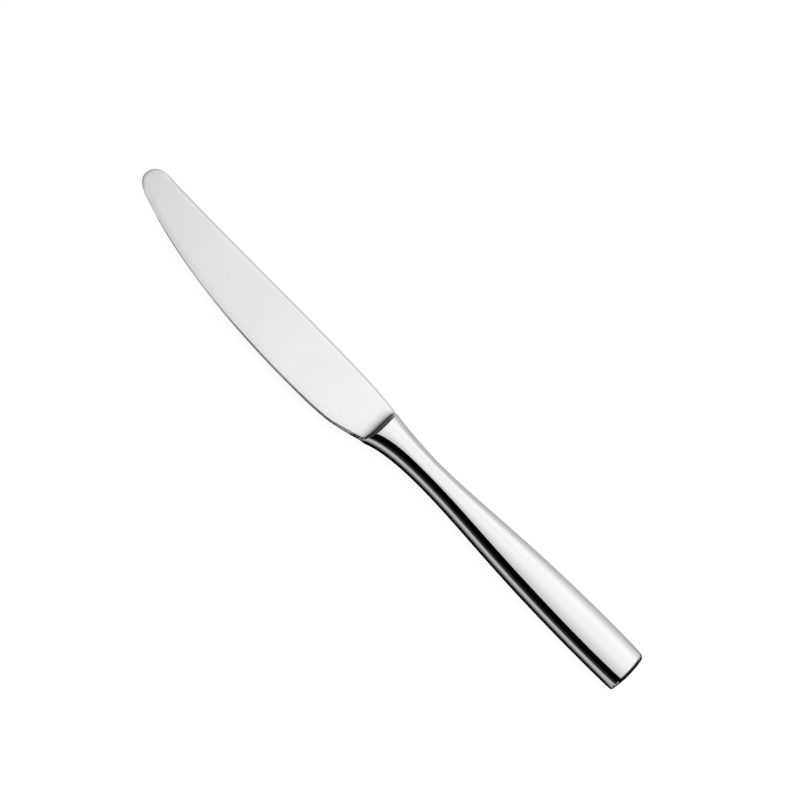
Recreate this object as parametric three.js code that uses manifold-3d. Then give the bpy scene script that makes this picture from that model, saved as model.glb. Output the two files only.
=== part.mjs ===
// A hollow-handled table knife, lying flat on the back of its handle. Millimetres, +Z up.
//
// The pieces are drawn about the shoulder, where the blade meets the handle. X runs along the handle's
// centre line from the tip (-X) to the butt (+X), the spine is at +Y, the cutting edge at -Y, and Z = 0 is
// the middle plane. The finished group is then moved so that its origin lies under the middle of its box.
import * as THREE from "three";
import { mergeVertices } from "three/addons/utils/BufferGeometryUtils.js";
import Module from "manifold-3d";

// Blade outline. Lengths run forward from the shoulder, heights are above or below the handle's centre line.
const bladeLength = 117.9;
const tipHeight = 5.0;
const tipSpineLength = 6.1;
const tipSpineHeight = 10.57;
const tipEdgeLength = 5.9;
const tipEdgeDepth = 1.34;
const spineHeelDistance = 24.3;
const spineHeelHeight = 9.2;
const bellyDistance = 35.3;
const bellyDepth = 13.77;
const heelDistance = 12.8;
const heelDepth = 12.35;

// Blade thickness. The two faces are flat, thickest at the spine's root and thinnest along the belly.
const spineRootThickness = 2.5;
const spineTipThickness = 1.5;
const bellyThickness = 0.8;
const bevelWidth = 0.8;
const spineEase = 0.3;
const mostBevelShare = 0.33;
const mostEaseShare = 0.16;

// Shoulder and bolster, forged with the blade.
const shoulderLength = 6.7;
const shoulderSpineHeight = 7.05;
const shoulderEdgeDepth = 8.07;
const hollowShare = 0.28;
const hollowPower = 3;
const wallPower = 16;
const bolsterLength = 8;

// Handle.
const handleLength = 117.1;
const waistDistance = 21.7;
const waistWidth = 10.66;
const buttWidth = 17.7;
const buttEndWidth = 17.1;
const buttTaperLength = 15.4;
const mouthThickness = 9.0;
const waistThickness = 8.1;
const buttThickness = 9.0;
const restLength = 37.4;
const landWidth = 2.4;
const crownAngle = THREE.MathUtils.degToRad(15.8);
const buttBow = 0.8;
const buttBowLength = 25;
const buttEase = 1.1;
const insideEase = 0.3;

// Construction inside the handle.
const wall = 0.9;
const seamWidth = 0.3;
const mouthGap = 0.3;
const clearance = 0.3;
const spigotLength = 6;
const tangLength = 62;
const tangRootWidth = 5.0;
const tangTipWidth = 3.2;
const tangThickness = 3.0;
const cementPastTang = 6;

// How finely the curves are cut into facets.
const tipSteps = 8;
const bladeSteps = 22;
const shoulderSteps = 8;
const handleStep = 4.5;
const easeSteps = 4;
const sideAngles = [72, 54, 36].map(THREE.MathUtils.degToRad);
const crownShares = [1, 0.5, 0];
const tipCapShare = 0.008;
const bisections = 40;

const polishedSteel = { color: 0xd8d9da, roughness: 0.12, metalness: 1 };
const groundSteel = { color: 0xcfd0d1, roughness: 0.22, metalness: 1 };
const silverSolder = { color: 0xc9cac6, roughness: 0.3, metalness: 1 };
const cement = { color: 0x8d867a, roughness: 0.9, metalness: 0 };

const wasm = await Module();
wasm.setup();

// Outlines

// A smooth outline through knots. At each knot, slope is its direction, and before and after are how far its
// curve keeps to that direction, as shares of the stretches on its two sides.
function outline(knots) {
  const curves = [];
  for (let i = 1; i < knots.length; i++) {
    const a = knots[i - 1];
    const b = knots[i];
    const run = b.x - a.x;
    curves.push(
      new THREE.CubicBezierCurve(
        new THREE.Vector2(a.x, a.y),
        new THREE.Vector2(a.x + run * a.after, a.y + run * a.after * a.slope),
        new THREE.Vector2(b.x - run * b.before, b.y - run * b.before * b.slope),
        new THREE.Vector2(b.x, b.y),
      ),
    );
  }
  return curves;
}

// The rounding of the tip, from its foremost point to the first knot of an outline. It leaves the point
// square to the knife's length.
function tipCurve(knot) {
  const run = knot.x + bladeLength;
  const rise = knot.y - tipHeight;
  return new THREE.CubicBezierCurve(
    new THREE.Vector2(-bladeLength, tipHeight),
    new THREE.Vector2(-bladeLength, tipHeight + rise * knot.roundness),
    new THREE.Vector2(knot.x - run * knot.before, knot.y - run * knot.before * knot.slope),
    new THREE.Vector2(knot.x, knot.y),
  );
}

// The height of an outline at x. Past its last knot the outline runs on level.
function heightAt(curves, x) {
  const curve = curves.find((c) => x <= c.v3.x);
  if (!curve) return curves.at(-1).v3.y;
  let low = 0;
  let high = 1;
  for (let i = 0; i < bisections; i++) {
    const middle = (low + high) / 2;
    if (curve.getPoint(middle).x < x) low = middle;
    else high = middle;
  }
  return curve.getPoint(high).y;
}

const spineStart = {
  x: tipSpineLength - bladeLength,
  y: tipSpineHeight,
  slope: -0.041,
  roundness: 0.55,
  before: 0.55,
  after: 0.27,
};
const edgeStart = {
  x: tipEdgeLength - bladeLength,
  y: -tipEdgeDepth,
  slope: -0.44,
  roundness: 0.42,
  before: 0.55,
  after: 0.25,
};
const widest = handleLength - buttTaperLength;
const restStart = handleLength - restLength;
const waistHalf = waistWidth / 2;
const buttHalf = buttWidth / 2;
const buttEndHalf = buttEndWidth / 2;

const spineCurves = [
  tipCurve(spineStart),
  ...outline([
    spineStart,
    { x: -spineHeelDistance, y: spineHeelHeight, slope: -0.027, before: 0.32, after: 0.375 },
    { x: 0, y: shoulderSpineHeight, slope: -0.21, before: 0.28, after: 0.22 },
    { x: waistDistance, y: waistHalf, slope: 0, before: 0.32, after: 0.25 },
    { x: widest, y: buttHalf, slope: 0, before: 0.53, after: 0.33 },
    { x: handleLength, y: buttEndHalf, slope: -0.05, before: 0.33 },
  ]),
];
const edgeCurves = [
  tipCurve(edgeStart),
  ...outline([
    edgeStart,
    { x: -bellyDistance, y: -bellyDepth, slope: 0, before: 0.37, after: 0.36 },
    { x: -heelDistance, y: -heelDepth, slope: 0.26, before: 0.22, after: 0.32 },
    { x: 0, y: -shoulderEdgeDepth, slope: 0.42, before: 0.32, after: 0.22 },
    { x: waistDistance, y: -waistHalf, slope: 0, before: 0.45, after: 0.25 },
    { x: widest, y: -buttHalf, slope: 0, before: 0.53, after: 0.33 },
    { x: handleLength, y: -buttEndHalf, slope: 0.05, before: 0.33 },
  ]),
];

const spineAt = (x) => heightAt(spineCurves, x);
const edgeAt = (x) => heightAt(edgeCurves, x);

// Half the handle's thickness, drawn in at the waist and level along the stretch that it rests on.
function handleHalfThickness(x) {
  const middle = waistThickness / 2;
  if (x < waistDistance) {
    const share = THREE.MathUtils.smoothstep(x, 0, waistDistance);
    return THREE.MathUtils.lerp(mouthThickness / 2, middle, share);
  }
  const share = THREE.MathUtils.smoothstep(x, waistDistance, restStart);
  return THREE.MathUtils.lerp(middle, buttThickness / 2, share);
}

// Sections

// A section of the handle or the bolster: a flat land along the middle of each face, a gently crowned face,
// and round sides. spine and edge are its limits in Y, half is half its thickness and angle is how far the
// crown leans. All its arcs meet smoothly, and drawing the limits in by some depth gives the same shape
// offset by that depth.
function handleSection(spine, edge, half, angle) {
  const centre = (spine + edge) / 2;
  const halfWidth = (spine - edge) / 2;
  const land = landWidth / 2;
  const lean = Math.tan(angle / 2);
  const sideRadius = (half - (halfWidth - land) * lean) / (1 - lean);
  const sideCentre = halfWidth - sideRadius;
  const crownEnd = sideCentre + sideRadius * Math.sin(angle);
  const crownRadius = (crownEnd - land) / Math.sin(angle);

  const onSide = (a) => [sideCentre + sideRadius * Math.sin(a), sideRadius * Math.cos(a)];
  const onCrown = (a) => [land + crownRadius * Math.sin(a), half - crownRadius * (1 - Math.cos(a))];
  const quarter = [...sideAngles.map(onSide), ...crownShares.map((share) => onCrown(angle * share))];
  const top = [
    ...quarter.map(([y, z]) => [centre + y, z]),
    ...quarter.toReversed().map(([y, z]) => [centre - y, z]),
  ];

  // The height of the upper surface at y, or 0 outside the section.
  function height(y) {
    const out = Math.abs(y - centre);
    if (out >= halfWidth) return 0;
    if (out > crownEnd) return Math.sqrt(sideRadius ** 2 - (out - sideCentre) ** 2);
    if (out > land) return half - crownRadius + Math.sqrt(crownRadius ** 2 - (out - land) ** 2);
    return half;
  }

  return { spine, edge, top, height };
}

// The handle's section at x, drawn in all round by inset.
function handleAt(x, inset) {
  return handleSection(
    spineAt(x) - inset,
    edgeAt(x) + inset,
    handleHalfThickness(x) - inset,
    crownAngle,
  );
}

const topCount = 2 * (sideAngles.length + crownShares.length);

// The blade's flat front face, as a plane through three of its thicknesses.
const facePlane = new THREE.Plane().setFromCoplanarPoints(
  new THREE.Vector3(0, shoulderSpineHeight, spineRootThickness / 2),
  new THREE.Vector3(spineStart.x, tipSpineHeight, spineTipThickness / 2),
  new THREE.Vector3(-bellyDistance, -bellyDepth, bellyThickness / 2),
);

function faceHeight(x, y) {
  const { normal, constant } = facePlane;
  return -(constant + normal.x * x + normal.y * y) / normal.z;
}

// The blade's section at x: an eased spine, a flat face and a bevel down to the edge. The ease and the bevel
// narrow with the tip.
function bladeSection(x) {
  const spine = spineAt(x);
  const edge = edgeAt(x);
  const width = spine - edge;
  const ease = Math.min(spineEase, width * mostEaseShare);
  const bevel = Math.min(bevelWidth, width * mostBevelShare);
  const faceTop = spine - ease;
  const faceFoot = edge + bevel;

  function height(y) {
    if (y < faceFoot) return (faceHeight(x, faceFoot) * (y - edge)) / bevel;
    if (y > faceTop) return faceHeight(x, y) - (y - faceTop);
    return faceHeight(x, y);
  }

  const top = [[spine, height(spine)]];
  for (let i = 0; i < topCount - 1; i++) {
    const y = THREE.MathUtils.lerp(faceTop, faceFoot, i / (topCount - 2));
    top.push([y, height(y)]);
  }
  return { spine, edge, top, height };
}

// The shoulder's section at share of its length. The blade's face rises in a shallow hollow and then in a
// steep wall up to the crest, and the flat blade grows into the handle's section.
function shoulderSection(share) {
  const x = -shoulderLength * (1 - share);
  const blade = bladeSection(x);
  const bolster = handleSection(blade.spine, blade.edge, mouthThickness / 2, crownAngle);
  const rise = THREE.MathUtils.lerp(share ** wallPower, share ** hollowPower, hollowShare);
  const top = blade.top.map(([bladeY], i) => {
    const y = THREE.MathUtils.lerp(bladeY, bolster.top[i][0], share);
    return [y, THREE.MathUtils.lerp(blade.height(y), bolster.height(y), rise)];
  });
  return { x, spine: blade.spine, edge: blade.edge, top };
}

// A bar of rectangular section, with its upper points spread like those of the section that it grows from.
function barSection(width, thickness, like) {
  const reach = like.top[0][0];
  const top = like.top.map(([y]) => [(y / reach) * (width / 2), thickness / 2]);
  top[top.length - 1][0] = -width / 2;
  return { spine: width / 2, edge: -width / 2, top };
}

// Solids

// One closed ring of points at x round a section: from the spine's middle over the top to the edge's middle,
// and back below.
function ring(x, section) {
  const over = section.top.map(([y, z]) => [x, y, z]);
  const under = section.top.toReversed().map(([y, z]) => [x, y, -z]);
  return [[x, section.spine, 0], ...over, [x, section.edge, 0], ...under];
}

// A closed solid through rings of equal length, given from -X to +X, with its two ends closed.
function loft(rings) {
  const count = rings[0].length;
  const index = [];
  for (let r = 1; r < rings.length; r++) {
    for (let i = 0; i < count; i++) {
      const a = (r - 1) * count + i;
      const b = (r - 1) * count + ((i + 1) % count);
      index.push(a, b, a + count, b, b + count, a + count);
    }
  }
  const last = (rings.length - 1) * count;
  for (let i = 1; i < count / 2; i++) {
    const [a, b, c, d] = [i - 1, i, count - i, (count - i + 1) % count];
    index.push(a, c, b, last + a, last + b, last + c);
    if (i > 1) index.push(a, d, c, last + a, last + c, last + d);
  }
  const half = count / 2;
  index.push(half - 1, half + 1, half, last + half - 1, last + half, last + half + 1);
  const geometry = new THREE.BufferGeometry();
  geometry.setAttribute("position", new THREE.Float32BufferAttribute(rings.flat(2), 3));
  geometry.setIndex(index);
  return geometry;
}

// A box between two corners.
function block(low, high) {
  const size = high.map((value, axis) => value - low[axis]);
  const centre = high.map((value, axis) => (value + low[axis]) / 2);
  return new THREE.BoxGeometry(...size).translate(...centre);
}

function toSolid(geometry) {
  const bare = geometry.clone();
  bare.deleteAttribute("normal");
  bare.deleteAttribute("uv");
  const merged = mergeVertices(bare);
  return new wasm.Manifold(
    new wasm.Mesh({
      numProp: 3,
      vertProperties: merged.attributes.position.array,
      triVerts: new Uint32Array(merged.index.array),
    }),
  );
}

function toGeometry(solid) {
  const mesh = solid.getMesh();
  const geometry = new THREE.BufferGeometry();
  geometry.setAttribute("position", new THREE.BufferAttribute(mesh.vertProperties, mesh.numProp));
  geometry.setIndex(new THREE.BufferAttribute(mesh.triVerts, 1));
  return geometry;
}

function piece(name, geometry, looks) {
  geometry.computeVertexNormals();
  const mesh = new THREE.Mesh(geometry, new THREE.MeshStandardMaterial(looks));
  mesh.name = name;
  return mesh;
}

// Blade, shoulder, bolster, spigot and tang

const spigotEnd = bolsterLength + spigotLength;
const tangEnd = spigotEnd + tangLength;
const spigotInset = wall + clearance;

function bladeRings() {
  const rings = [];
  const tipEnd = Math.max(spineStart.x, edgeStart.x);
  const tipRun = tipEnd + bladeLength;
  for (let i = 0; i < tipSteps; i++) {
    const share = 1 - Math.cos(((i / tipSteps) * Math.PI) / 2);
    const outlineX = -bladeLength + tipRun * Math.max(share, tipCapShare);
    rings.push(ring(i ? outlineX : -bladeLength, bladeSection(outlineX)));
  }
  for (let i = 0; i < bladeSteps; i++) {
    const x = THREE.MathUtils.lerp(tipEnd, -shoulderLength, i / bladeSteps);
    rings.push(ring(x, bladeSection(x)));
  }
  for (let i = 0; i < shoulderSteps; i++) {
    const section = shoulderSection(Math.sqrt(i / shoulderSteps));
    rings.push(ring(section.x, section));
  }
  return rings;
}

function bolsterRings() {
  const spigotStart = handleAt(bolsterLength, spigotInset);
  const spigotTail = handleAt(spigotEnd, spigotInset);
  return [
    ring(0, handleAt(0, 0)),
    ring(bolsterLength / 2, handleAt(bolsterLength / 2, 0)),
    ring(bolsterLength, handleAt(bolsterLength, 0)),
    ring(bolsterLength, spigotStart),
    ring(spigotEnd, spigotTail),
    ring(spigotEnd, barSection(tangRootWidth, tangThickness, spigotTail)),
    ring(tangEnd, barSection(tangTipWidth, tangThickness, spigotTail)),
  ];
}

// Handle

// The rings of the handle's outside, or of its inside where inset is the wall, from x = start to the butt.
// The butt's edges are eased by ease, and its end bows outwards.
function handleRings(start, inset, ease) {
  const straightEnd = handleLength - inset - ease;
  const steps = Math.ceil((straightEnd - start) / handleStep);
  const rings = [];
  for (let i = 0; i < steps; i++) {
    const x = THREE.MathUtils.lerp(start, straightEnd, i / steps);
    rings.push(ring(x, handleAt(x, inset)));
  }
  for (let i = 0; i <= easeSteps; i++) {
    const angle = ((i / easeSteps) * Math.PI) / 2;
    const x = straightEnd + ease * Math.sin(angle);
    rings.push(ring(x, handleAt(x, inset + ease * (1 - Math.cos(angle)))));
  }
  return rings.map((points) => points.map(bowed));
}

function bowed([x, y, z]) {
  const share = THREE.MathUtils.smoothstep(x, handleLength - buttBowLength, handleLength);
  return [x - buttBow * share * (y / buttHalf) ** 2, y, z];
}

const reach = bladeLength + handleLength;
const mouth = bolsterLength + mouthGap;
const insideStart = bolsterLength - wall;
const outside = toSolid(loft(handleRings(bolsterLength, 0, buttEase)));
const inside = toSolid(loft(handleRings(insideStart, wall, insideEase)));
const hollow = outside.subtract(inside);
const mouthRing = hollow.intersect(toSolid(block([0, -reach, -reach], [mouth, reach, reach])));
const shells = hollow.intersect(toSolid(block([mouth, -reach, -reach], [reach, reach, reach])));
const frontShell = shells.intersect(toSolid(block([0, -reach, seamWidth / 2], [reach, reach, reach])));
const backShell = shells.intersect(toSolid(block([0, -reach, -reach], [reach, reach, -seamWidth / 2])));
const seam = shells.intersect(toSolid(block([0, -reach, -seamWidth / 2], [reach, reach, seamWidth / 2])));

// The cement fills the handle round the tang, a clearance away from the walls, the spigot and the tang.
function cementSolid() {
  const start = spigotEnd + clearance;
  const end = tangEnd + cementPastTang;
  const filling = toSolid(loft(handleRings(insideStart, wall + clearance, insideEase)));
  const plug = filling.intersect(toSolid(block([start, -reach, -reach], [end, reach, reach])));
  const like = handleAt(spigotEnd, spigotInset);
  const around = 2 * clearance;
  const hole = toSolid(
    loft([
      ring(spigotEnd, barSection(tangRootWidth + around, tangThickness + around, like)),
      ring(tangEnd + clearance, barSection(tangTipWidth + around, tangThickness + around, like)),
    ]),
  );
  return plug.subtract(hole);
}

const knife = new THREE.Group();
knife.name = "table_knife";
knife.add(
  piece("blade", loft([...bladeRings(), ...bolsterRings()]), groundSteel),
  piece("handle_shell_front", toGeometry(frontShell), polishedSteel),
  piece("handle_shell_back", toGeometry(backShell), polishedSteel),
  piece("seam_solder", toGeometry(seam), silverSolder),
  piece("bolster_solder", toGeometry(mouthRing), silverSolder),
  piece("tang_cement", toGeometry(cementSolid()), cement),
);

const box = new THREE.Box3().setFromObject(knife);
const middle = box.getCenter(new THREE.Vector3());
knife.position.set(-middle.x, -middle.y, -box.min.z);

export default knife;
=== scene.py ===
"""A polished hollow-handled table knife on a pale floor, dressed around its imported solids.

The knife's shape is drawn in millimetres about its shoulder, as its solids are, with the same outlines and
sections but far finer. X runs from the tip to the butt, +Y is the spine's side, and Z = 0 is the middle
plane. Each mesh is then set into the frame, in metres.
"""
import math
from collections import namedtuple

import bmesh
import bpy
import numpy as np
from mathutils import Matrix, Vector


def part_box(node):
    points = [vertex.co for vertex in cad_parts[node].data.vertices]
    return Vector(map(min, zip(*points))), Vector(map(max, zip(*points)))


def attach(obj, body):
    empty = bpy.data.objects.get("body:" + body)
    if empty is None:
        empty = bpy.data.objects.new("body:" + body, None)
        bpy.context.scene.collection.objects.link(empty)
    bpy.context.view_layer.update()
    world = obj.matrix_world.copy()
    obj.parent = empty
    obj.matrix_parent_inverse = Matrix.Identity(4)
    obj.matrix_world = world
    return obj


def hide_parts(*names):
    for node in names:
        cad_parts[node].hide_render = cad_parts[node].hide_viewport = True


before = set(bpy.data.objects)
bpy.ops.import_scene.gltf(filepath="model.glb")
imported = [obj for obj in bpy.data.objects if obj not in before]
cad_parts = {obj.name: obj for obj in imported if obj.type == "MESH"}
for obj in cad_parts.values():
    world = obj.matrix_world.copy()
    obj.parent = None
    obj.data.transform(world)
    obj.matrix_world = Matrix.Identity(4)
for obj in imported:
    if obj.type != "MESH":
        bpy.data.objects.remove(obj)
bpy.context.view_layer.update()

MM = 0.001

# Blade outline
BLADE_LENGTH = 117.9
TIP_HEIGHT = 5.0
TIP_SPINE_LENGTH = 6.1
TIP_SPINE_HEIGHT = 10.63
TIP_EDGE_LENGTH = 5.9
TIP_EDGE_DEPTH = 1.16
TIP_SPINE_ROUNDNESS = 0.58
TIP_EDGE_ROUNDNESS = 0.5
SPINE_HEEL_DISTANCE = 24.3
SPINE_HEEL_HEIGHT = 9.33
BELLY_DISTANCE = 35.3
BELLY_DEPTH = 13.6
HEEL_DISTANCE = 12.8
HEEL_DEPTH = 12.25

# Blade thickness, grind and teeth
SPINE_ROOT_THICKNESS = 2.5
SPINE_TIP_THICKNESS = 1.5
BELLY_THICKNESS = 0.8
RIM_WIDTH = 1.1
TIP_RIM_WIDTH = 0.6
TIP_RIM_RUN = (2.0, 8.0)
SHOULDER_RIM_WIDTH = 0.85
SHOULDER_RIM_RUN = (-9.0, -1.0)
RIM_SLOPE = 0.42
TIP_RIM_SLOPE = 0.12
RIM_BLEND = 0.3
RIM_EASE = 0.15
TIP_RIM_EASE = 0.08
THINNEST_RIM = 0.03
MOST_EASE_SHARE = 0.16
MOST_BEVEL_SHARE = 0.2
GRIND_WIDTH = 3.0
GRIND_SLOPE = 0.07
BEVEL_AT_TIP = 0.05
BEVEL_BEFORE_TEETH = 0.5
BEVEL_AT_TEETH = 0.6
BEVEL_AT_SHOULDER = 1.05
BEVEL_RUN = (-16.0, -4.0)
BLUNTNESS = ((-76, 0.69), (-56, 0.38), (-38, 0.6), (-15, 0.69), (-5, 0.66), (-3, 0.88))
SMALLEST_DIVISOR = 1e-4
SHARP_START = 2.0
ROUND_TIP_LENGTH = 9.0
TOOTH_PITCH = 0.9
TOOTH_LAND = 0.34
TOOTH_FLANK = 0.12
TOOTH_DEPTH = 0.05
GROOVE_DEPTH = 0.08
HEEL_GROOVE_DEPTH = 0.65
HEEL_GROOVE_RUN = (-6.5, -4.0)
TEETH_START = -63.0
TEETH_END = -0.6
TEETH_FADE_IN = 8.0
TEETH_FADE_OUT = 0.6

# Shoulder and bolster
SHOULDER_LENGTH = 6.7
SHOULDER_SPINE_HEIGHT = 7.27
SHOULDER_EDGE_DEPTH = 8.27
HOLLOW_SHARE = 0.28
HOLLOW_POWER = 3
WALL_POWER = 16
CREST_BLEND = 0.04
CREST_BLEND_AT_SPINE = 0.4
SPINE_FADE = (0.3, 2.2)
CREST_LEAD = 0.1
HOOK_LENGTH = 2.2
HOOK_WIDTH = 1.4
FLANK_RADIUS = 1.0
FLANK_RUN = (0.0, 2.4)
BOLSTER_LENGTH = 8.0

# Handle
HANDLE_LENGTH = 117.1
WAIST_DISTANCE = 21.7
WAIST_WIDTH = 10.66
BUTT_WIDTH = 17.7
BUTT_END_WIDTH = 17.1
BUTT_TAPER_LENGTH = 15.4
MOUTH_THICKNESS = 9.0
WAIST_THICKNESS = 8.1
BUTT_THICKNESS = 9.0
REST_LENGTH = 37.4
LAND_WIDTH = 2.4
CROWN_ANGLE = math.radians(15.8)
BUTT_BOW = 0.8
BUTT_BOW_LENGTH = 25
BUTT_EASE = 2.3
INSIDE_EASE = 0.3
EASE_ANGLE = math.radians(48)
EDGE_EASE_SHARE = 0.6

# Construction inside the handle
WALL = 0.9
SEAM_WIDTH = 0.3
MOUTH_GAP = 0.3
CLEARANCE = 0.3
SPIGOT_LENGTH = 6
TANG_LENGTH = 62
TANG_ROOT_WIDTH = 5.0
TANG_TIP_WIDTH = 3.2
TANG_THICKNESS = 3.0

# How finely the surfaces are drawn
CURVE_SAMPLES = 600
TIP_ROWS = 44
TOOTH_STEPS = (TOOTH_LAND / 2, TOOTH_LAND / 2 + TOOTH_FLANK)
TOOTH_PHASES = (*TOOTH_STEPS, 1 - TOOTH_STEPS[1], 1 - TOOTH_STEPS[0])
CREST_STEP = 0.05
CREST_REACH = 1.6
BOLSTER_STEP = 0.4
HANDLE_STEP = 0.8
EASE_ROWS = 16
STRIP_COLUMNS = 6
FACE_COLUMNS = 12
COLUMNS = 2 * STRIP_COLUMNS + 3 * FACE_COLUMNS
FACE_BORDER_WIDTH = 3.0
MOST_BORDER_SHARE = 0.3

# Where the knife lies
blade_low, blade_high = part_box("blade")
shell_low, shell_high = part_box("handle_shell_front")
SHOULDER = Vector((
    blade_low.x + BLADE_LENGTH * MM,
    (shell_low.y + shell_high.y) / 2,
    (blade_low.z + blade_high.z) / 2,
))


# Outlines. A knot's before and after are the lengths of its handles, as shares of the runs beside it

Knot = namedtuple("Knot", "x y slope before after")


def bezier(a, b, c, d):
    t = np.linspace(0, 1, CURVE_SAMPLES)[:, None]
    a, b, c, d = (np.array(p, float) for p in (a, b, c, d))
    return (1 - t) ** 3 * a + 3 * (1 - t) ** 2 * t * b + 3 * (1 - t) * t**2 * c + t**3 * d


def outline(tip_roundness, knots):
    """Points along an outline: the rounding of the tip, then a smooth curve through the knots."""
    first = knots[0]
    run = first.x + BLADE_LENGTH
    rise = first.y - TIP_HEIGHT
    curves = [bezier(
        (-BLADE_LENGTH, TIP_HEIGHT),
        (-BLADE_LENGTH, TIP_HEIGHT + rise * tip_roundness),
        (first.x - run * first.before, first.y - run * first.before * first.slope),
        (first.x, first.y),
    )]
    for a, b in zip(knots, knots[1:]):
        run = b.x - a.x
        curves.append(bezier(
            (a.x, a.y),
            (a.x + run * a.after, a.y + run * a.after * a.slope),
            (b.x - run * b.before, b.y - run * b.before * b.slope),
            (b.x, b.y),
        ))
    return np.concatenate(curves)


WIDEST = HANDLE_LENGTH - BUTT_TAPER_LENGTH
SPINE = outline(TIP_SPINE_ROUNDNESS, [
    Knot(TIP_SPINE_LENGTH - BLADE_LENGTH, TIP_SPINE_HEIGHT, -0.041, 0.55, 0.27),
    Knot(-SPINE_HEEL_DISTANCE, SPINE_HEEL_HEIGHT, -0.027, 0.32, 0.375),
    Knot(0, SHOULDER_SPINE_HEIGHT, -0.21, 0.28, 0.22),
    Knot(WAIST_DISTANCE, WAIST_WIDTH / 2, 0, 0.32, 0.25),
    Knot(WIDEST, BUTT_WIDTH / 2, 0, 0.53, 0.33),
    Knot(HANDLE_LENGTH, BUTT_END_WIDTH / 2, -0.05, 0.33, 0),
])
EDGE = outline(TIP_EDGE_ROUNDNESS, [
    Knot(TIP_EDGE_LENGTH - BLADE_LENGTH, -TIP_EDGE_DEPTH, -0.417, 0.55, 0.28),
    Knot(-BELLY_DISTANCE, -BELLY_DEPTH, 0, 0.335, 0.385),
    Knot(-HEEL_DISTANCE, -HEEL_DEPTH, 0.26, 0.22, 0.32),
    Knot(0, -SHOULDER_EDGE_DEPTH, 0.42, 0.32, 0.22),
    Knot(WAIST_DISTANCE, -WAIST_WIDTH / 2, 0, 0.45, 0.25),
    Knot(WIDEST, -BUTT_WIDTH / 2, 0, 0.53, 0.33),
    Knot(HANDLE_LENGTH, -BUTT_END_WIDTH / 2, 0.05, 0.33, 0),
])


def spine_at(x):
    return np.interp(x, SPINE[:, 0], SPINE[:, 1])


def edge_at(x):
    return np.interp(x, EDGE[:, 0], EDGE[:, 1])


def smoothstep(x, low, high):
    t = np.clip((x - low) / (high - low), 0, 1)
    return t * t * (3 - 2 * t)


def lerp(a, b, share):
    return a + (b - a) * share


def soft_min(a, b, blend):
    return (a + b - np.sqrt((a - b) ** 2 + blend**2)) / 2


# Sections

def handle_half(x):
    """Half the handle's thickness, drawn in at the waist and level along the stretch that it rests on."""
    to_waist = lerp(MOUTH_THICKNESS, WAIST_THICKNESS, smoothstep(x, 0, WAIST_DISTANCE))
    to_butt = smoothstep(x, WAIST_DISTANCE, HANDLE_LENGTH - REST_LENGTH)
    return lerp(to_waist, np.where(x > WAIST_DISTANCE, BUTT_THICKNESS, to_waist), to_butt) / 2


def rounded_height(y, spine, edge, half, angle):
    """The upper surface of a handle section: a flat land, a crowned face and round sides."""
    half_width = (spine - edge) / 2
    land = LAND_WIDTH / 2
    lean = np.tan(angle / 2)
    side = (half - (half_width - land) * lean) / (1 - lean)
    side_centre = half_width - side
    crown_end = side_centre + side * np.sin(angle)
    crown = (crown_end - land) / np.sin(angle)
    out = np.abs(y - (spine + edge) / 2)
    on_side = np.sqrt(np.maximum(side**2 - (out - side_centre) ** 2, 0))
    on_crown = half - crown + np.sqrt(np.maximum(crown**2 - np.maximum(out - land, 0) ** 2, 0))
    return np.where(out >= half_width, 0, np.where(out > crown_end, on_side, on_crown))


def plane_through(points):
    """The coefficients a, b, c of the plane z = a x + b y + c."""
    points = np.array(points, float)
    return np.linalg.solve(np.column_stack([points[:, :2], np.ones(3)]), points[:, 2])


FACE = plane_through([
    (0, SHOULDER_SPINE_HEIGHT, SPINE_ROOT_THICKNESS / 2),
    (TIP_SPINE_LENGTH - BLADE_LENGTH, TIP_SPINE_HEIGHT, SPINE_TIP_THICKNESS / 2),
    (-BELLY_DISTANCE, -BELLY_DEPTH, BELLY_THICKNESS / 2),
])


def distance_to(curve, x, y):
    """How far points lie from a curve: the shortest way round the tip, and elsewhere across the blade."""
    distance = np.abs(np.interp(x, curve[:, 0], curve[:, 1]) - y)
    rows = np.flatnonzero(x[:, 0] < ROUND_TIP_LENGTH - BLADE_LENGTH)
    near = curve[curve[:, 0] < 2 * ROUND_TIP_LENGTH - BLADE_LENGTH]
    for row in rows:
        across = np.hypot(near[:, 0] - x[row, 0], near[:, 1] - y[row][:, None])
        distance[row] = across.min(axis=1)
    return distance


EDGE_RUN = np.concatenate([[0], np.cumsum(np.hypot(*np.diff(EDGE, axis=0).T))])


def tooth_gap(x):
    """The saw teeth along the edge, from 0 on the land of a tooth to 1 along the flat floor of a gap."""
    phase = np.interp(x, EDGE[:, 0], EDGE_RUN) / TOOTH_PITCH % 1
    starts = smoothstep(x, TEETH_START, TEETH_START + TEETH_FADE_IN)
    ends = smoothstep(-x, -TEETH_END, TEETH_FADE_OUT - TEETH_END)
    return np.interp(np.minimum(phase, 1 - phase), TOOTH_STEPS, [0, 1]) * starts * ends


def bevel_width(x):
    """The ground bevel along the edge, which widens towards the shoulder."""
    ground = lerp(BEVEL_AT_TIP, BEVEL_BEFORE_TEETH, smoothstep(x, -BLADE_LENGTH, TEETH_START))
    ground = lerp(ground, BEVEL_AT_TEETH, smoothstep(x, TEETH_START, TEETH_START + TEETH_FADE_IN))
    ground = lerp(ground, BEVEL_AT_SHOULDER, smoothstep(x, *BEVEL_RUN))
    return np.minimum(ground, (spine_at(x) - edge_at(x)) * MOST_BEVEL_SHARE)


def notch_depth(x):
    """How deep the gaps between the teeth cut into the edge, less where the bevel is narrow."""
    return TOOTH_DEPTH * tooth_gap(x) * bevel_width(x) / BEVEL_AT_SHOULDER


def edge_bluntness(x):
    """How thick the edge stays, as a share of the blade: least where the teeth begin, most at the heel."""
    return np.interp(x, *zip(*BLUNTNESS))


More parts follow.
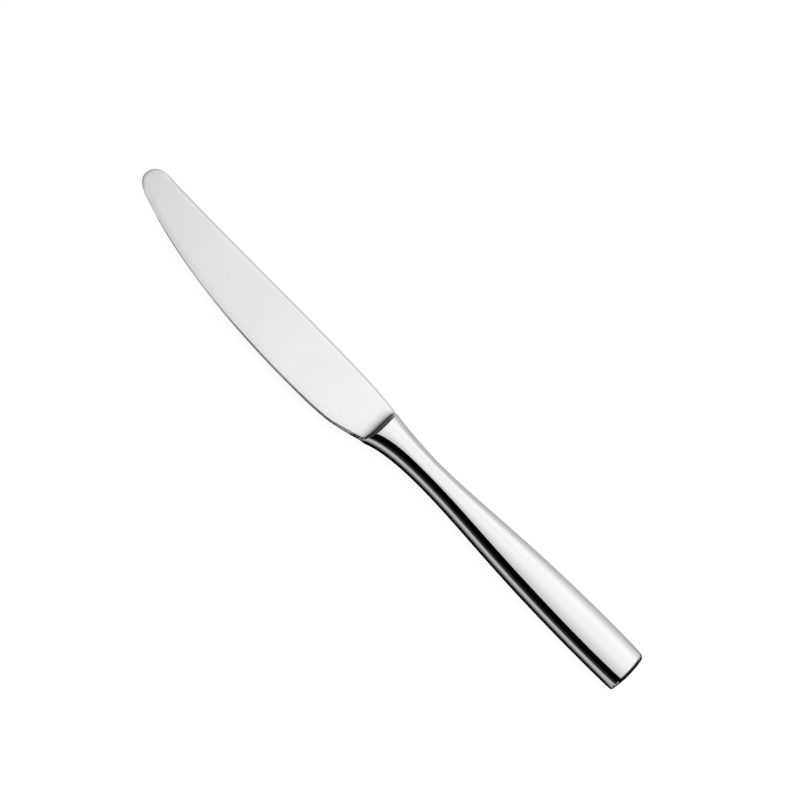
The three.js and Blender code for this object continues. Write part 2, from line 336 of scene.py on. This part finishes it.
def rounding(distance, ease):
    """How much an edge rounded to the radius ease falls away at a distance inside it."""
    inside = np.minimum(distance, ease)
    return ease - np.sqrt(ease**2 - (ease - inside) ** 2)


def rim_drop(x, distance):
    """How much the sloping rim of the spine and the tip falls away at a distance inside it."""
    behind_tip = smoothstep(x + BLADE_LENGTH, *TIP_RIM_RUN)
    width = lerp(TIP_RIM_WIDTH, RIM_WIDTH, behind_tip)
    width = lerp(width, SHOULDER_RIM_WIDTH, smoothstep(x, *SHOULDER_RIM_RUN))
    slope = lerp(TIP_RIM_SLOPE, RIM_SLOPE, behind_tip)
    ease = lerp(TIP_RIM_EASE, RIM_EASE, behind_tip)
    return rounding(distance, ease) - slope * soft_min(distance - width, 0, RIM_BLEND)


def blade_height(x, y):
    """The upper surface of the blade.

    Its flat face rolls off to a bevel along the edge, and to a sloping rim along the spine and the tip.
    """
    from_spine = distance_to(SPINE, x, y)
    from_edge = distance_to(EDGE, x, y)
    sharp = smoothstep(x, SHARP_START - BLADE_LENGTH, ROUND_TIP_LENGTH - BLADE_LENGTH)
    a, b, c = FACE
    face = a * x + b * y + c
    face = face - sharp * GRIND_SLOPE * np.maximum(GRIND_WIDTH - from_edge, 0) ** 2 / (2 * GRIND_WIDTH)
    face = face - rim_drop(x, lerp(np.minimum(from_spine, from_edge), from_spine, sharp))
    notch = notch_depth(x)
    up_bevel = np.clip((from_edge - notch) / np.maximum(bevel_width(x) - notch, SMALLEST_DIVISOR), 0, 1)
    groove = tooth_gap(x) * lerp(GROOVE_DEPTH, HEEL_GROOVE_DEPTH, smoothstep(x, *HEEL_GROOVE_RUN))
    ground = lerp(edge_bluntness(x), 1, up_bevel) * (1 - groove * (1 - up_bevel))
    return np.maximum(face, THINNEST_RIM) * lerp(1, ground, sharp)


def knife_height(x, y):
    """The upper surface of the blade and the bolster, with a shallow hollow and a steep wall between them.

    The wall hooks forward along the cutting edge, where its flank is round. Its crest softens at the spine.
    """
    from_edge = np.maximum(y - edge_at(x), 0)
    hook = CREST_LEAD + HOOK_LENGTH * np.exp(-from_edge / HOOK_WIDTH)
    share = np.maximum(1 + (x + hook) / SHOULDER_LENGTH, 0)
    off_spine = smoothstep(spine_at(x) - y, *SPINE_FADE)
    climb = lerp(share**WALL_POWER, share**HOLLOW_POWER, HOLLOW_SHARE)
    blend = lerp(CREST_BLEND_AT_SPINE, CREST_BLEND, off_spine)
    rise = np.clip(soft_min(climb, 1, blend), 0, 1)
    bolster = rounded_height(y, spine_at(x), edge_at(x), handle_half(x), CROWN_ANGLE)
    blade = blade_height(np.minimum(x, 0), y)
    ahead = np.maximum(smoothstep(-x, *FLANK_RUN), SMALLEST_DIVISOR)
    flank = blade + np.sqrt(2 * FLANK_RADIUS * from_edge / ahead)
    return np.minimum(lerp(blade, bolster, rise), flank)


# Columns, the lines along the knife that a row of points is laid on, from the spine to the edge

def round_columns(spine, edge):
    """Columns that crowd towards both limits, as a round side needs."""
    share = (1 - np.cos(np.linspace(0, np.pi, COLUMNS + 1))) / 2
    return spine + (edge - spine) * share


def blade_columns(x):
    """Columns at the ends of the spine's ease and of the bevel, and crowded beside both."""
    spine, edge = spine_at(x), edge_at(x)
    notch = notch_depth(x)
    width = spine - edge
    ease = np.minimum(RIM_EASE, width * MOST_EASE_SHARE)
    bevel = bevel_width(x)
    border = np.minimum(FACE_BORDER_WIDTH, width * MOST_BORDER_SHARE)
    strip = np.linspace(0, 1, STRIP_COLUMNS + 1)
    face = np.linspace(0, 1, FACE_COLUMNS + 1)[1:]
    above = spine - ease * (1 - np.cos(strip * np.pi / 2))
    upper = spine - lerp(ease, border, face**2)
    middle = lerp(spine - border, edge + border, face)
    lower = edge + lerp(border, bevel, 1 - (1 - face) ** 2)
    below = edge + lerp(bevel, notch, strip[1:])
    return np.concatenate([above, upper, middle, lower, below], axis=1)


# Meshes, in the frame's metres

MERGE_DISTANCE = 2e-7
SHARP_ANGLE = math.radians(32)


def in_frame(points):
    return np.asarray(points, float).reshape(-1, 3) * MM + np.array(SHOULDER)


def make_piece(name, points, faces, material, slot, *nodes):
    """A closed, smooth-shaded piece that stands for CAD nodes and rides with the knife."""
    mesh = bpy.data.meshes.new(name)
    mesh.from_pydata(in_frame(points).tolist(), [], faces)
    tidy = bmesh.new()
    tidy.from_mesh(mesh)
    bmesh.ops.remove_doubles(tidy, verts=tidy.verts, dist=MERGE_DISTANCE)
    bmesh.ops.dissolve_degenerate(tidy, edges=tidy.edges, dist=MERGE_DISTANCE)
    bmesh.ops.recalc_face_normals(tidy, faces=tidy.faces)
    tidy.to_mesh(mesh)
    tidy.free()
    mesh.shade_smooth()
    mesh.set_sharp_from_angle(angle=SHARP_ANGLE)
    mesh.materials.append(material)
    piece = bpy.data.objects.new(name, mesh)
    bpy.context.scene.collection.objects.link(piece)
    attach(piece, "root")
    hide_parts(*nodes)


def strip_faces(first, second, closed=False):
    """Quads between two lines of point numbers."""
    pairs = list(zip(first, second))
    if closed:
        pairs.append(pairs[0])
    return [(a, b, d, c) for (a, c), (b, d) in zip(pairs, pairs[1:])]


def sheet_faces(numbers):
    return [face for a, b in zip(numbers, numbers[1:]) for face in strip_faces(a, b)]


def tube_faces(count, closed=False):
    """Faces round a tube of four lines of count points, with its two ends closed if its lines are open."""
    lines = np.arange(4 * count).reshape(4, count).tolist()
    faces = [face for a, b in zip(lines, lines[1:] + lines[:1]) for face in strip_faces(a, b, closed)]
    if not closed:
        faces += [tuple(line[end] for line in lines) for end in (0, -1)]
    return faces


def ring(x, y, z):
    """Points round the section at x, from the spine over the top to the edge and back below."""
    flat = np.zeros(1)
    ys = np.concatenate([y[:1], y, y[-1:], y[::-1]])
    zs = np.concatenate([flat, z, flat, -z[::-1]])
    return np.column_stack([np.full(len(ys), x), ys, zs])


def loft(rings):
    """The points and faces of a closed solid through rings.

    Quads between its upper and lower half close an end, with a five-cornered face at either limit.
    """
    count = len(rings[0])
    numbers = np.arange(len(rings) * count).reshape(len(rings), count)
    faces = []
    for a, b in zip(numbers, numbers[1:]):
        faces += strip_faces(a.tolist(), b.tolist(), closed=True)
    half = count // 2
    for end in (numbers[0], numbers[-1]):
        over = end[:half + 1].tolist()
        under = [int(end[0]), *end[:half - 1:-1].tolist()]
        faces += strip_faces(over[2:-2], under[2:-2])
        faces.append((*over[:3], under[2], under[1]))
        faces.append((*over[-3:], under[-2], under[-3]))
    return np.concatenate(rings), faces


# Blade

def blade_rows():
    """Where the rows of the blade, shoulder and bolster lie along X."""
    tip_run = TEETH_START + BLADE_LENGTH
    tip = -BLADE_LENGTH + tip_run * (1 - np.cos(np.linspace(0, np.pi / 2, TIP_ROWS)))
    runs = np.interp([TEETH_START, -CREST_REACH], EDGE[:, 0], EDGE_RUN)
    teeth = np.arange(math.ceil(runs[0] / TOOTH_PITCH), math.floor(runs[1] / TOOTH_PITCH))
    along = (teeth[:, None] + np.array(TOOTH_PHASES)).ravel() * TOOTH_PITCH
    toothed = np.interp(along, EDGE_RUN, EDGE[:, 0])
    crest = np.arange(-CREST_REACH, CREST_REACH, CREST_STEP)
    bolster = np.arange(CREST_REACH, BOLSTER_LENGTH, BOLSTER_STEP)
    return np.concatenate([tip, toothed, crest, bolster, [BOLSTER_LENGTH]])


def bar_ring(x, width):
    y = np.linspace(width / 2, -width / 2, COLUMNS + 1)
    return ring(x, y, np.full(COLUMNS + 1, TANG_THICKNESS / 2))


def inset_ring(x, inset):
    x = np.array([[x]], float)
    spine, edge = spine_at(x) - inset, edge_at(x) + inset
    y = round_columns(spine, edge)
    z = rounded_height(y, spine, edge, handle_half(x) - inset, CROWN_ANGLE)
    return ring(x[0, 0], y[0], z[0])


def make_blade(material):
    x = np.unique(blade_rows())[:, None]
    handed_over = smoothstep(x, TEETH_END, 0)
    y = lerp(blade_columns(x), round_columns(spine_at(x), edge_at(x)), handed_over)
    z = knife_height(x, y)
    rings = [ring(x[i, 0], y[i], z[i]) for i in range(len(x))]
    spigot_end = BOLSTER_LENGTH + SPIGOT_LENGTH
    rings += [
        inset_ring(BOLSTER_LENGTH, WALL + CLEARANCE),
        inset_ring(spigot_end, WALL + CLEARANCE),
        bar_ring(spigot_end, TANG_ROOT_WIDTH),
        bar_ring(spigot_end + TANG_LENGTH, TANG_TIP_WIDTH),
    ]
    make_piece("knife_blade", *loft(rings), material, "blade_steel", "blade")


# Handle

def bowed(points):
    """Bows the butt's end: its corners are drawn back, the edge's more abruptly than the spine's."""
    share = smoothstep(points[..., 0], HANDLE_LENGTH - BUTT_BOW_LENGTH, HANDLE_LENGTH)
    across = points[..., 1] / (BUTT_WIDTH / 2)
    points[..., 0] -= BUTT_BOW * share * np.where(across > 0, across**2, -across**3)
    return points


def shell_sheet(inset, ease):
    """One face of the upper half shell: rows of points from the mouth over the butt's end to its foot."""
    start = BOLSTER_LENGTH + MOUTH_GAP
    straight_end = HANDLE_LENGTH - inset - ease * math.sin(EASE_ANGLE)
    count = round((HANDLE_LENGTH - start) / HANDLE_STEP)
    turn = np.linspace(0, EASE_ANGLE, EASE_ROWS)[1:]
    straight = np.linspace(start, straight_end, count)
    x = np.concatenate([straight, straight_end + ease * np.sin(turn)])[:, None]
    fall = np.concatenate([np.zeros(count), ease * (1 - np.cos(turn))])[:, None]
    edge_fall = EDGE_EASE_SHARE * fall * (fall / fall[-1]) ** 2
    spine, edge = spine_at(x) - inset - fall, edge_at(x) + inset + edge_fall
    half = handle_half(x) - inset - fall
    y = round_columns(spine, edge)
    z = rounded_height(y, spine, edge, half, CROWN_ANGLE)
    seam = SEAM_WIDTH / 2
    above = np.maximum(z, seam)
    rows = np.stack([np.broadcast_to(x, y.shape), y, above], axis=-1)
    foot = rows[-1:].copy()
    foot[..., 2] = seam
    return bowed(np.concatenate([rows, foot]))


def rim(numbers):
    """The point numbers along the foot of a shell's sheet: spine side, round the butt, edge side."""
    return [*numbers[:-1, 0].tolist(), *numbers[-1].tolist(), *numbers[-2::-1, -1].tolist()]


def make_shell(name, node, side, material):
    """Half of the hollow handle. side is 1 for the upper half and -1 for the lower."""
    outer = shell_sheet(0, BUTT_EASE)
    inner = shell_sheet(WALL, INSIDE_EASE)
    shape = outer.shape[:2]
    points = np.concatenate([outer.reshape(-1, 3), inner.reshape(-1, 3)])
    points[:, 2] *= side
    outside = np.arange(shape[0] * shape[1]).reshape(shape)
    inside = outside + outside.size
    faces = sheet_faces(outside.tolist()) + sheet_faces(inside.tolist())
    faces += strip_faces(outside[0].tolist(), inside[0].tolist())
    faces += strip_faces(rim(outside), rim(inside))
    make_piece(name, points, faces, material, "handle_steel", node)


def make_seam(material):
    """The solder between the two shells' edges, ground flush."""
    paths = []
    for inset, ease in ((0, BUTT_EASE), (WALL, INSIDE_EASE)):
        sheet = shell_sheet(inset, ease)
        numbers = np.arange(sheet.shape[0] * sheet.shape[1]).reshape(sheet.shape[:2])
        path = sheet.reshape(-1, 3)[rim(numbers)]
        below = path * np.array([1, 1, -1])
        paths += [path, below] if inset == 0 else [below, path]
    faces = tube_faces(len(paths[0]))
    make_piece("handle_seam", np.concatenate(paths), faces, material, "solder", "seam_solder")


def make_mouth_ring(material):
    """The solder between the bolster and the handle's mouth, ground flush."""
    start, end = BOLSTER_LENGTH, BOLSTER_LENGTH + MOUTH_GAP
    rings = [inset_ring(start, 0), inset_ring(end, 0), inset_ring(end, WALL), inset_ring(start, WALL)]
    faces = tube_faces(len(rings[0]), closed=True)
    make_piece("mouth_ring", np.concatenate(rings), faces, material, "solder", "bolster_solder")


# Materials, with sizes in millimetres and a finish's mark as its length and width

Finish = namedtuple("Finish", "mark patch roughness")
POLISHED = Finish(mark=(9, 0.12), patch=14, roughness=(0.05, 0.07))
SATIN = Finish(mark=(6, 0.09), patch=25, roughness=(0.24, 0.27))
MARK_ROUGHNESS = 0.03
MARK_DETAIL = 3.0
NOISE_LIMITS = (0.3, 0.7)
STEEL_COLOUR = (0.83, 0.83, 0.83)
# The satin steel's colour is lighter than the polished steel's. This is painted light that brightens the
# blade's face.
SATIN_COLOUR_WITH_PAINTED_LIGHT = (0.925, 0.925, 0.925)
SOLDER_COLOUR = (0.83, 0.83, 0.825)
POLISH_BLEND = 0.1
POLISH_LEAD = 2.2
POLISH_LEAD_RUN = (-7, -2)
GROUND_ALONG = (-12, -6)
GROUND_ACROSS = (-4, -2)
GROUND_DROP = (0.12, 0.2)
CEMENT_GRAIN = 0.6
CEMENT_COLOURS = ((0.22, 0.2, 0.18), (0.38, 0.36, 0.33))
CEMENT_ROUGHNESS = (0.8, 0.95)


def add_node(tree, kind, inputs=None, **settings):
    """A new shader node. inputs gives its sockets their values, or the sockets that feed them."""
    made = tree.nodes.new("ShaderNode" + kind)
    for name, value in settings.items():
        setattr(made, name, value)
    for socket, value in (inputs or {}).items():
        if isinstance(value, bpy.types.NodeSocket):
            tree.links.new(value, made.inputs[socket])
        else:
            made.inputs[socket].default_value = value
    return made


def calculate(tree, operation, a, b=0.0):
    return add_node(tree, "Math", {0: a, 1: b}, operation=operation).outputs[0]


def ramp(tree, value, low, high, to_low=0.0, to_high=1.0):
    """value mapped smoothly from low..high to to_low..to_high."""
    inputs = {"Value": value, "From Min": low, "From Max": high, "To Min": to_low, "To Max": to_high}
    return add_node(tree, "MapRange", inputs, interpolation_type="SMOOTHSTEP").outputs["Result"]


def new_material(name):
    material = bpy.data.materials.new(name)
    material.use_nodes = True
    return material, material.node_tree, material.node_tree.nodes["Principled BSDF"]


def place(tree):
    return add_node(tree, "TexCoord").outputs["Object"]


def streaks(tree, length, width):
    """Fine marks along the knife, as grey noise. length and width are a mark's size in millimetres."""
    scale = (1 / (length * MM), 1 / (width * MM), 1 / (width * MM))
    stretched = add_node(tree, "Mapping", {"Vector": place(tree), "Scale": scale}).outputs[0]
    inputs = {"Vector": stretched, "Scale": 1.0, "Detail": MARK_DETAIL}
    return add_node(tree, "TexNoise", inputs).outputs[0]


def clouds(tree, size):
    """Soft patches of grey noise, with their size in millimetres."""
    return add_node(tree, "TexNoise", {"Vector": place(tree), "Scale": 1 / (size * MM)}).outputs[0]


def roughness(tree, finish):
    """The roughness of a finish: faint marks along the knife, and softer patches."""
    marks = ramp(tree, streaks(tree, *finish.mark), *NOISE_LIMITS, 0.0, MARK_ROUGHNESS)
    patches = ramp(tree, clouds(tree, finish.patch), *NOISE_LIMITS, *finish.roughness)
    return calculate(tree, "ADD", patches, marks)


def polished_steel(name, colour):
    material, tree, shader = new_material(name)
    shader.inputs["Metallic"].default_value = 1
    shader.inputs["Base Color"].default_value = (*colour, 1)
    tree.links.new(roughness(tree, POLISHED), shader.inputs["Roughness"])
    return material


def place_ramp(tree, value, limits, to_low=0.0, to_high=1.0):
    """ramp over limits in millimetres, for a place in metres."""
    low, high = limits
    return ramp(tree, value, low * MM, high * MM, to_low, to_high)


def satin_steel(name):
    """Satin up to the shoulder's crest, and polished behind it and on the ground teeth of the heel. The
    satin part is given a lighter colour than the polished steel, as painted light on the blade's face.
    """
    material, tree, shader = new_material(name)
    local = add_node(tree, "VectorMath", {0: place(tree), 1: SHOULDER}, operation="SUBTRACT").outputs[0]
    along, across, above = add_node(tree, "SeparateXYZ", {0: local}).outputs
    lead = place_ramp(tree, across, POLISH_LEAD_RUN, POLISH_LEAD * MM, 0.0)
    behind = place_ramp(tree, calculate(tree, "ADD", along, lead), (-POLISH_BLEND, POLISH_BLEND))
    a, b, c = (float(value) for value in FACE)
    flat = add_node(tree, "VectorMath", {0: local, 1: (a, b, 0)}, operation="DOT_PRODUCT").outputs["Value"]
    face = calculate(tree, "ADD", flat, c * MM)
    drop = calculate(tree, "SUBTRACT", face, calculate(tree, "ABSOLUTE", above))
    near_shoulder = place_ramp(tree, along, GROUND_ALONG)
    near_edge = place_ramp(tree, across, GROUND_ACROSS, 1.0, 0.0)
    heel = calculate(tree, "MULTIPLY", near_shoulder, near_edge)
    ground = calculate(tree, "MULTIPLY", heel, place_ramp(tree, drop, GROUND_DROP))
    shiny = calculate(tree, "MAXIMUM", behind, ground)
    # The lighter colour in front of the crest is painted light on the blade's face, laid over the satin
    # finish.
    colours = {1: (*SATIN_COLOUR_WITH_PAINTED_LIGHT, 1), 2: (*STEEL_COLOUR, 1)}
    colour = add_node(tree, "MixRGB", {0: behind, **colours}).outputs[0]
    finishes = {2: roughness(tree, SATIN), 3: roughness(tree, POLISHED)}
    finish = add_node(tree, "Mix", {0: shiny, **finishes}).outputs[0]
    shader.inputs["Metallic"].default_value = 1
    tree.links.new(colour, shader.inputs["Base Color"])
    tree.links.new(finish, shader.inputs["Roughness"])
    return material


def set_cement(name):
    """A grey-brown resin with a grain of filler."""
    material, tree, shader = new_material(name)
    grain = clouds(tree, CEMENT_GRAIN)
    colour = add_node(tree, "ValToRGB", {0: grain})
    for element, shade in zip(colour.color_ramp.elements, CEMENT_COLOURS):
        element.color = (*shade, 1)
    tree.links.new(colour.outputs[0], shader.inputs["Base Color"])
    rough = ramp(tree, grain, *NOISE_LIMITS, *CEMENT_ROUGHNESS)
    tree.links.new(rough, shader.inputs["Roughness"])
    return material


handle_steel = polished_steel("mirror_polished_steel", STEEL_COLOUR)
blade_steel = satin_steel("satin_polished_steel")
solder = polished_steel("polished_solder", SOLDER_COLOUR)
make_blade(blade_steel)
make_shell("handle_front", "handle_shell_front", 1, handle_steel)
make_shell("handle_back", "handle_shell_back", -1, handle_steel)
make_seam(solder)
make_mouth_ring(solder)
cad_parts["tang_cement"].data.materials.clear()
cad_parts["tang_cement"].data.materials.append(set_cement("set_cement"))


# Camera

CAMERA_DISTANCE = 1.5
SENSOR = 36.0
PICTURE_WIDTH = 0.2699
TILT = math.radians(30)
AIM_ALONG = -2.86
AIM_ACROSS = 10.88

along = Vector((1, 0, 0))
across = Vector((0, math.cos(TILT), math.sin(TILT)))
backward = Vector((0, -math.sin(TILT), math.cos(TILT)))
aim = SHOULDER + (along * AIM_ALONG + across * AIM_ACROSS) * MM
right = (along + across).normalized()
up = (across - along).normalized()
camera = bpy.data.objects.new("camera", bpy.data.cameras.new("camera"))
bpy.context.scene.collection.objects.link(camera)
camera.data.sensor_width = SENSOR
camera.data.lens = SENSOR * CAMERA_DISTANCE / PICTURE_WIDTH
stand = Matrix((right, up, backward)).transposed().to_4x4()
stand.translation = aim + backward * CAMERA_DISTANCE
camera.matrix_world = stand
bpy.context.scene.camera = camera


# Floor, with places in the frame's metres

FLOOR_REACH = 30
FLOOR_COLOUR = (0.8, 0.8, 0.8)
FLOOR_GLOW = 0.9
SHADE_REACH = 0.04
SEEN_GLOW = (1.04, 1.12)
MIRRORED_GLOW = 0.6
MIRRORED_SHADE = (0.85, 1.0)
BEHIND_RUN = (0.0105, 0.0145)
BEHIND_GLOW = 0.4
BLADE_RUN = (-0.098, -0.058)
BLADE_GLOW = (0.65, 0.07)
HEEL_RUN = (-0.012, -0.002)
BUTT_RUN = (0.1185, 0.125)
FRONT_RUN = (-0.05, -0.03)


def floor_material():
    """A white floor. The camera sees it plain white, with a soft shade beside the knife.

    In the steel it is dimmer. There it is dark close to the knife, except behind it and along the blade,
    and dark beyond the butt.
    """
    material, tree = new_material("white_floor")[:2]
    tree.nodes.clear()
    rays = add_node(tree, "LightPath").outputs
    mirrored = calculate(tree, "MAXIMUM", rays["Is Glossy Ray"], rays["Is Transmission Ray"])
    open_sky = add_node(tree, "AmbientOcclusion", {"Distance": SHADE_REACH}).outputs["AO"]
    bright = ramp(tree, open_sky, 0.0, 1.0, *SEEN_GLOW)
    seen = calculate(tree, "MULTIPLY", rays["Is Camera Ray"], bright)
    shaded = ramp(tree, open_sky, *MIRRORED_SHADE, 0.0, MIRRORED_GLOW)
    along, across = add_node(tree, "SeparateXYZ", {0: place(tree)}).outputs[:2]
    lit_behind = ramp(tree, across, *BEHIND_RUN, 0.0, BEHIND_GLOW)
    before_heel = ramp(tree, along, *HEEL_RUN, 1.0, 0.0)
    lit_blade = calculate(tree, "MULTIPLY", ramp(tree, along, *BLADE_RUN, *BLADE_GLOW), before_heel)
    lit = calculate(tree, "MAXIMUM", lit_behind, lit_blade)
    before_butt = ramp(tree, along, *BUTT_RUN, 1.0, 0.0)
    in_front = ramp(tree, across, *FRONT_RUN, 1.0, 0.0)
    beside = calculate(tree, "MAXIMUM", before_butt, in_front)
    white = calculate(tree, "MULTIPLY", beside, calculate(tree, "MAXIMUM", shaded, lit))
    reflected = calculate(tree, "MULTIPLY", mirrored, white)
    glow = add_node(tree, "Emission", {"Strength": calculate(tree, "ADD", seen, reflected)})
    diffuse = add_node(tree, "BsdfDiffuse", {"Color": (*FLOOR_COLOUR, 1)})
    seen_share = calculate(tree, "MULTIPLY", rays["Is Camera Ray"], FLOOR_GLOW)
    share = calculate(tree, "MAXIMUM", seen_share, mirrored)
    mix = add_node(tree, "MixShader", {0: share, 1: diffuse.outputs[0], 2: glow.outputs[0]})
    add_node(tree, "OutputMaterial", {0: mix.outputs[0]})
    return material


def add_floor():
    mesh = bpy.data.meshes.new("floor")
    corners = [(-1, -1), (1, -1), (1, 1), (-1, 1)]
    mesh.from_pydata([(x * FLOOR_REACH, y * FLOOR_REACH, 0) for x, y in corners], [], [(0, 1, 2, 3)])
    mesh.materials.append(floor_material())
    floor = bpy.data.objects.new("floor", mesh)
    bpy.context.scene.collection.objects.link(floor)


# Lights. The top softbox's stops give its strength along its height, from its back to its front

MIDDLE = 0.5
SPREAD_RUN = (0.3, 0.6)
TOP_STOPS = (
    (0.0, 0.34), (0.235, 0.53), (0.507, 0.58), (0.579, 0.74),
    (0.66, 0.97), (0.73, 1.0), (0.84, 0.83), (1.0, 0.56),
)
SKY_RUN = (0.0, 0.6)
SKY_GLOW = (0.025, 0.001)
LOW_BAND_RUN = (0.12, 0.24)
LOW_BAND_GLOW = 0.42
HIGH_BAND_RUN = (0.2, 0.9)
HIGH_BAND_GLOW = 0.025
FRONT_SKY_RUN = (-0.9, -0.7)


def add_softbox(name, centre, normal, width, height, radiance):
    """A rectangular softbox that the camera doesn't see."""
    lamp = bpy.data.lights.new(name, "AREA")
    lamp.shape = "RECTANGLE"
    lamp.size = width
    lamp.size_y = height
    lamp.energy = radiance * math.pi * width * height
    box = bpy.data.objects.new(name, lamp)
    box.location = centre
    box.rotation_euler = (-Vector(normal)).to_track_quat("Z", "Y").to_euler()
    box.visible_camera = False
    bpy.context.scene.collection.objects.link(box)
    return lamp


def fade_softbox(lamp, even, spread, back_spread, stops):
    """Fades a softbox to both sides of an even middle, and by stops (place, share) along its height."""
    lamp.use_nodes = True
    tree = lamp.node_tree
    spot = add_node(tree, "SeparateXYZ", {0: add_node(tree, "NewGeometry").outputs["Parametric"]}).outputs
    from_middle = calculate(tree, "ABSOLUTE", calculate(tree, "SUBTRACT", spot[0], MIDDLE))
    outside = calculate(tree, "MAXIMUM", calculate(tree, "SUBTRACT", from_middle, even / 2), 0.0)
    off = calculate(tree, "DIVIDE", outside, ramp(tree, spot[1], *SPREAD_RUN, back_spread, spread))
    squared = calculate(tree, "MULTIPLY", off, off)
    bell = calculate(tree, "EXPONENT", calculate(tree, "MULTIPLY", squared, -0.5))
    along = add_node(tree, "ValToRGB", {0: spot[1]})
    elements = along.color_ramp.elements
    while len(elements) < len(stops):
        elements.new(MIDDLE)
    for element, (position, share) in zip(elements, stops):
        element.position = position
        element.color = (share, share, share, 1)
    strength = calculate(tree, "MULTIPLY", bell, along.outputs[0])
    tree.links.new(strength, tree.nodes["Emission"].inputs["Strength"])


add_floor()
top = add_softbox(
    "top_softbox", centre=(0.125, 1.029, 0.51), normal=(0, -0.4138, -0.9104),
    width=2.0, height=2.367, radiance=1.15,
)
fade_softbox(top, even=0.16, spread=0.11, back_spread=0.4, stops=TOP_STOPS)
add_softbox(
    "right_softbox", centre=(0.895, -0.751, 0.57), normal=(-0.6885, 0.5777, -0.438),
    width=0.36, height=0.64, radiance=0.4,
)
add_softbox(
    "left_softbox", centre=(-0.81, -0.81, 0.61), normal=(0.624, 0.624, -0.469),
    width=0.7, height=0.7, radiance=0.9,
)

world = bpy.data.worlds.new("studio")
bpy.context.scene.world = world
world.use_nodes = True
sky = world.node_tree
direction = add_node(sky, "TexCoord").outputs["Generated"]
depth, height = add_node(sky, "SeparateXYZ", {0: direction}).outputs[1:]
low_band = ramp(sky, height, *LOW_BAND_RUN, LOW_BAND_GLOW, 0.0)
high_band = ramp(sky, height, *HIGH_BAND_RUN, HIGH_BAND_GLOW, 0.0)
bands = calculate(sky, "ADD", low_band, high_band)
front = calculate(sky, "MULTIPLY", bands, ramp(sky, depth, *FRONT_SKY_RUN, 1.0, 0.0))
strength = calculate(sky, "ADD", ramp(sky, height, *SKY_RUN, *SKY_GLOW), front)
sky.nodes["Background"].inputs["Color"].default_value = (1, 1, 1, 1)
sky.links.new(strength, sky.nodes["Background"].inputs["Strength"])

bpy.context.scene.view_settings.view_transform = "Standard"
